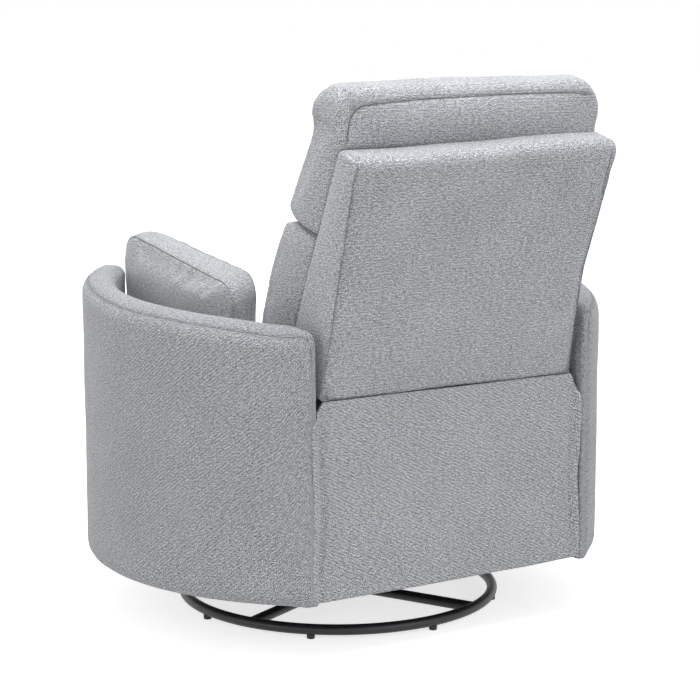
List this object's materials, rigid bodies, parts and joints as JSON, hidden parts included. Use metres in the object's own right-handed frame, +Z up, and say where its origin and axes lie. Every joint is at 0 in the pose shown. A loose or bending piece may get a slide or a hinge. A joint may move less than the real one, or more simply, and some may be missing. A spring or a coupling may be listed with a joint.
{
  "type": "swivel glider recliner",
  "caption": "Upholstered barrel-arm recliner that glides on swing links and swivels on a round steel base, with fold-out footrest and loose pillow.",
  "frame": {"origin": "on the floor, on the swivel axis", "axes": "+Z up, -Y to the front of the chair, +X to the sitter's left"},
  "size_m": [0.986, 0.9729, 1.0049],
  "materials": {
    "upholstery": "heathered tweed",
    "pillow_fabric": "soft chenille",
    "black_steel": "satin black",
    "mechanism_steel": "semi-gloss black",
    "zinc_steel": "zinc plated",
    "bearing_steel": "polished",
    "nylon": "matte",
    "timber": "sawn",
    "plywood": "sanded",
    "webbing": "woven"
  },
  "bodies": {
    "base": {"base_ring": "black_steel", "base_cross": "black_steel", "glides": "nylon", "hub_plate": "mechanism_steel", "swivel_nut": "zinc_steel", "lower_race": "bearing_steel", "bearing_balls": "bearing_steel"},
    "swivel": {"upper_race": "bearing_steel", "swivel_plate": "mechanism_steel", "cross_channels": "mechanism_steel", "left_upright": "mechanism_steel", "right_upright": "mechanism_steel", "upper_pivot_pins": "zinc_steel"},
    "front_links": {"front_swing_links": "mechanism_steel", "front_link_bushes": "nylon"},
    "rear_links": {"rear_swing_links": "mechanism_steel", "rear_link_bushes": "nylon"},
    "seat": {"left_mechanism_plate": "mechanism_steel", "right_mechanism_plate": "mechanism_steel", "left_side_rail": "timber", "right_side_rail": "timber", "left_side_panel": "plywood", "right_side_panel": "plywood", "front_rail": "timber", "rear_rail": "timber", "front_ledge": "plywood", "skirt_rail": "timber", "lower_pivot_pins": "zinc_steel", "box_bolts": "zinc_steel", "seat_springs": "zinc_steel", "spring_clips": "zinc_steel", "seat_cushion": "upholstery", "left_arm_cover": "upholstery", "right_arm_cover": "upholstery", "left_arm_panel": "plywood", "right_arm_panel": "plywood", "left_arm_webs": "plywood", "right_arm_webs": "plywood", "left_deck_pad": "upholstery", "right_deck_pad": "upholstery", "rear_skirt": "upholstery", "recline_pins": "zinc_steel", "footrest_drive_pins": "zinc_steel"},
    "back": {"outside_back": "upholstery", "back_frame": "timber", "back_straps": "webbing", "left_back_bracket": "mechanism_steel", "right_back_bracket": "mechanism_steel", "lumbar_cushion": "upholstery", "head_cushion": "upholstery"},
    "drive_links": {"footrest_drive_links": "mechanism_steel", "footrest_cross_tube": "mechanism_steel", "footrest_elbow_pins": "zinc_steel"},
    "extension_links": {"footrest_extension_links": "mechanism_steel", "footrest_board_pins": "zinc_steel"},
    "footrest": {"footrest_brackets": "mechanism_steel", "footrest_board": "plywood", "footrest_pad": "upholstery"},
    "release_lever": {"release_lever": "mechanism_steel"},
    "pillow": {"pillow": "pillow_fabric"}
  },
  "joints": [
    {"name": "swivel", "type": "hinge", "parent": "base", "child": "swivel", "pos_m": [0, 0, 0.04], "axis": [0, 0, 1], "continuous": true},
    {"name": "glide", "type": "hinge", "parent": "swivel", "child": "front_links", "pos_m": [0, -0.095, 0.245], "axis": [1, 0, 0], "range_deg": [-24, 24]},
    {"name": "rear_link_swing", "type": "hinge", "parent": "swivel", "child": "rear_links", "pos_m": [0, 0.095, 0.245], "axis": [1, 0, 0], "range_deg": [-24, 24]},
    {"name": "seat_level", "type": "hinge", "parent": "front_links", "child": "seat", "pos_m": [0, -0.095, 0.135], "axis": [1, 0, 0], "range_deg": [-24, 24]},
    {"name": "recline", "type": "hinge", "parent": "seat", "child": "back", "pos_m": [0, 0.28, 0.41], "axis": [-1, 0, 0], "range_deg": [0, 35], "deforming": ["rear_skirt"]},
    {"name": "footrest_drive", "type": "hinge", "parent": "seat", "child": "drive_links", "pos_m": [0, -0.345, 0.375], "axis": [-1, 0, 0], "range_deg": [0, 80]},
    {"name": "footrest_extend", "type": "hinge", "parent": "drive_links", "child": "extension_links", "pos_m": [0, -0.345, 0.215], "axis": [-1, 0, 0], "range_deg": [-135, 0]},
    {"name": "footrest_level", "type": "hinge", "parent": "extension_links", "child": "footrest", "pos_m": [0, -0.43, 0.375], "axis": [-1, 0, 0], "range_deg": [0, 145]},
    {"name": "lever_pull", "type": "hinge", "parent": "seat", "child": "release_lever", "pos_m": [-0.3, -0.375, 0.375], "axis": [-1, 0, 0], "range_deg": [0, 30], "stiffness_Nm_per_rad": 1.5},
    {"name": "pillow_lift", "type": "slide", "parent": "seat", "child": "pillow", "axis": [0, 0, 1], "range_m": [0, 0.35]}
  ],
  "couplings": [
    {"joint": "rear_link_swing", "follows": "glide", "ratio": 1},
    {"joint": "seat_level", "follows": "glide", "ratio": -1},
    {"joint": "footrest_extend", "follows": "footrest_drive", "ratio": -1.6875},
    {"joint": "footrest_level", "follows": "footrest_drive", "ratio": 1.8125}
  ]
}
